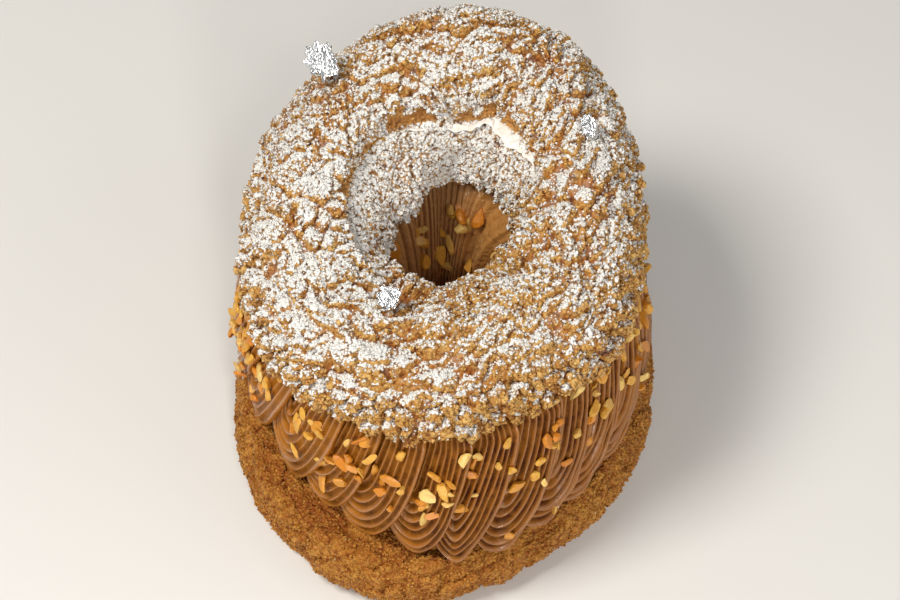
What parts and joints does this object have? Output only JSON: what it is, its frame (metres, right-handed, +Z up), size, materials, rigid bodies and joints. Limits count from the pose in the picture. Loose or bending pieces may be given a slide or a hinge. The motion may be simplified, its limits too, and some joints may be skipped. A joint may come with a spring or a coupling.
{
  "type": "paris brest pastry",
  "caption": "Oval choux ring, split and filled with tall piped praline cream, with a domed sugared crackled lid, chopped nuts and torn silver leaf.",
  "frame": {"origin": "on the resting plane, under the middle of the whole pastry's box", "axes": "+Z up; +Y from the low front of the lid to its high back, along the long side; +X to the right seen from the front"},
  "size_m": [0.1014, 0.1232, 0.0946],
  "materials": {
    "base_crust": "golden brown crackled choux crust, dull",
    "lid_crust": "golden brown crackled choux crust under icing sugar, dull",
    "praline_cream": "smooth piped praline cream, satin",
    "silver_leaf": "crumpled thin leaf, bright"
  },
  "bodies": {
    "root": {"choux_base": "base_crust", "praline_cream": "praline_cream", "choux_lid": "lid_crust", "silver_leaf_1": "silver_leaf", "silver_leaf_2": "silver_leaf", "silver_leaf_3": "silver_leaf"}
  },
  "joints": []
}
